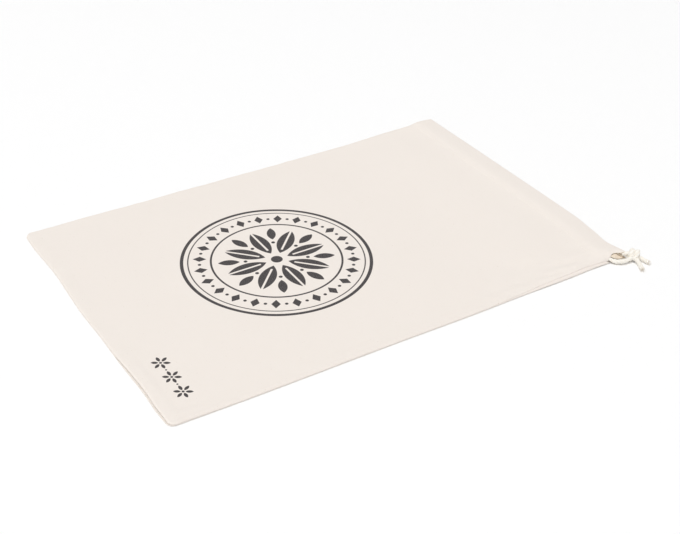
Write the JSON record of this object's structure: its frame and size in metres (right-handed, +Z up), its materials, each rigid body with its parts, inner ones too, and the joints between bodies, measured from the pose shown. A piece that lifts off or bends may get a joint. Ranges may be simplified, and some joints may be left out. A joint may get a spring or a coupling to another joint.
{
  "type": "bread bag",
  "caption": "Flat cotton drawstring bag for bread, lying empty, with a cord casing at the mouth and knotted cord ends.",
  "frame": {"origin": "under the middle of the cloth, on the surface that the bag lies on", "axes": "+X towards the mouth, +Y towards the far side seam, away from the cord ends, +Z up"},
  "size_m": [0.4598, 0.3238, 0.0103],
  "materials": {
    "cotton_cloth": "matte plain-weave unbleached cotton",
    "cotton_cord": "matte twisted cotton cord"
  },
  "bodies": {
    "root": {"front_panel": "cotton_cloth", "back_panel": "cotton_cloth", "drawcord": "cotton_cord", "front_cord_end": "cotton_cord", "back_cord_end": "cotton_cord", "knot": "cotton_cord", "front_tail": "cotton_cord", "back_tail": "cotton_cord"}
  },
  "joints": []
}
